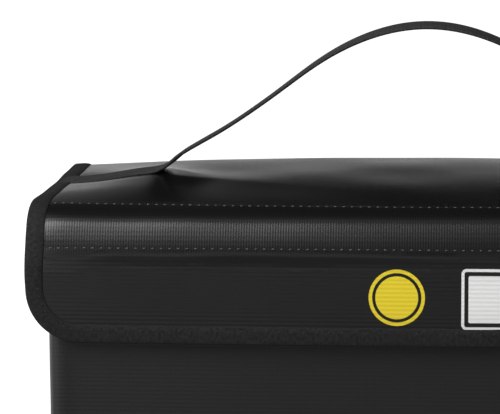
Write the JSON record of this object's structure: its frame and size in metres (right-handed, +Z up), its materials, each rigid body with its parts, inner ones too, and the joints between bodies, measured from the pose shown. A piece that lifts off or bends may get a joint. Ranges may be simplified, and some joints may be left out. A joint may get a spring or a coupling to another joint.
{
  "type": "lipo safe bag",
  "caption": "Box-shaped padded battery bag of coated black cloth, with a hinged crowned lid, a front flap that closes with hook and loop strips, and a webbing carry handle.",
  "frame": {"origin": "centre of the base, on the surface the bag stands on", "axes": "+X along the length, -Y towards the flap side, +Z up"},
  "size_m": [0.276, 0.1358, 0.2058],
  "materials": {
    "coated_cloth": "semi-gloss coated weave",
    "board": "matte",
    "lining": "satin silver",
    "tape": "matte ribbed",
    "webbing": "matte ribbed",
    "hook_and_loop": "matte pile",
    "thread": "matte"
  },
  "bodies": {
    "pouch": {"front_panel": "coated_cloth", "back_panel": "coated_cloth", "left_side_panel": "coated_cloth", "right_side_panel": "coated_cloth", "base_panel": "coated_cloth", "front_board": "board", "back_board": "board", "left_side_board": "board", "right_side_board": "board", "base_board": "board", "front_lining": "lining", "back_lining": "lining", "left_side_lining": "lining", "right_side_lining": "lining", "base_lining": "lining", "mouth_binding_front": "tape", "mouth_binding_left": "tape", "mouth_binding_right": "tape", "loop_strip": "hook_and_loop", "back_fold": "coated_cloth"},
    "lid": {"lid_cloth": "coated_cloth", "lid_board": "board", "lid_lining": "lining", "lid_binding_left": "tape", "lid_binding_right": "tape", "fold_cloth": "coated_cloth", "fold_lining": "lining", "fold_binding_left": "tape", "fold_binding_right": "tape", "upper_stitch_row": "thread", "strap_tail_left": "webbing", "strap_tail_right": "webbing", "strap_stitches": "thread", "strap_root_left": "webbing", "strap_root_right": "webbing"},
    "flap": {"flap_cloth": "coated_cloth", "flap_board": "board", "flap_lining": "lining", "flap_binding": "tape", "hook_strip": "hook_and_loop", "lower_stitch_row": "thread"},
    "handle": {"handle_strap": "webbing"}
  },
  "joints": [
    {"name": "lid_hinge", "type": "hinge", "parent": "pouch", "child": "lid", "pos_m": [0, 0.0646, 0.1481], "axis": [-1, 0, 0], "range_deg": [0, 180], "deforming": ["back_fold"]},
    {"name": "flap_hinge", "type": "hinge", "parent": "lid", "child": "flap", "pos_m": [0, -0.06751, 0.14584], "axis": [-1, 0, 0], "range_deg": [0, 105], "deforming": ["fold_cloth", "fold_lining", "fold_binding_left", "fold_binding_right"]},
    {"name": "handle_swing", "type": "hinge", "parent": "lid", "child": "handle", "pos_m": [0, 0.00135, 0.15859], "axis": [1, 0, 0], "range_deg": [-60, 60], "stiffness_Nm_per_rad": 0.02, "deforming": ["strap_root_left", "strap_root_right"]}
  ]
}
